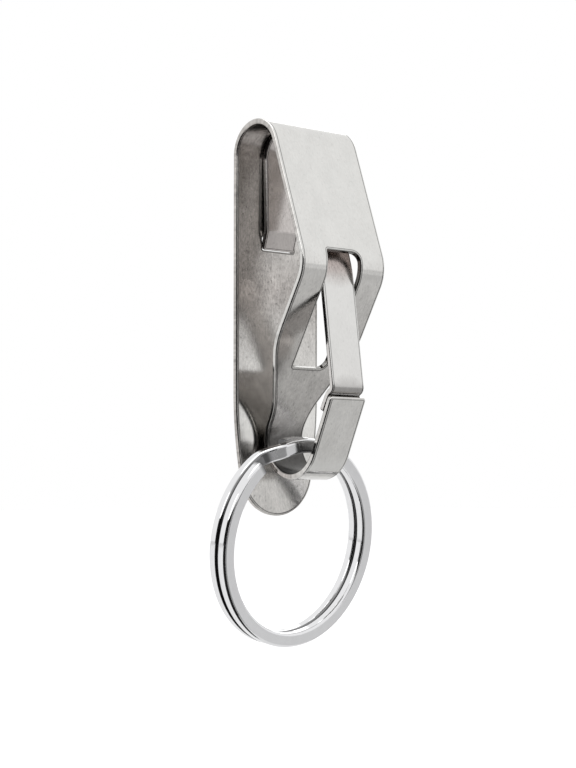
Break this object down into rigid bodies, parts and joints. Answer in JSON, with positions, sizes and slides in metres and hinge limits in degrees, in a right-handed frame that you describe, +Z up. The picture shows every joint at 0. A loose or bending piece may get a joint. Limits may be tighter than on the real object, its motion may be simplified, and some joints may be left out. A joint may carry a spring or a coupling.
{
  "type": "belt key clip",
  "caption": "Bent steel clip that slides over a belt, with a sprung gate closing its hook and a split ring for keys hanging in it.",
  "frame": {"origin": "mid-width, on the front face of the back plate, where the belt's upper edge rests under the bow", "axes": "+Z up along the back plate, -Y forward out of the belt, +Y to the rear face that lies against the wearer, +X across the width"},
  "size_m": [0.0321, 0.0173, 0.0808],
  "materials": {
    "body_steel": "satin",
    "leaf_steel": "satin",
    "ring_steel": "bright"
  },
  "bodies": {
    "clip": {"clip_body": "body_steel", "spring_leaf": "leaf_steel"},
    "gate": {"spring_gate": "leaf_steel"},
    "ring": {"split_ring": "ring_steel"}
  },
  "joints": [
    {"name": "gate_flex", "type": "hinge", "parent": "clip", "child": "gate", "pos_m": [0, -0.01208, -0.01821], "axis": [1, 0, 0], "range_deg": [0, 12], "stiffness_Nm_per_rad": 0.08, "springref_deg": -5.73},
    {"name": "ring_swing", "type": "hinge", "parent": "clip", "child": "ring", "pos_m": [0, -0.0087, -0.04845], "axis": [1, 0, 0], "range_deg": [-120, 90]}
  ]
}
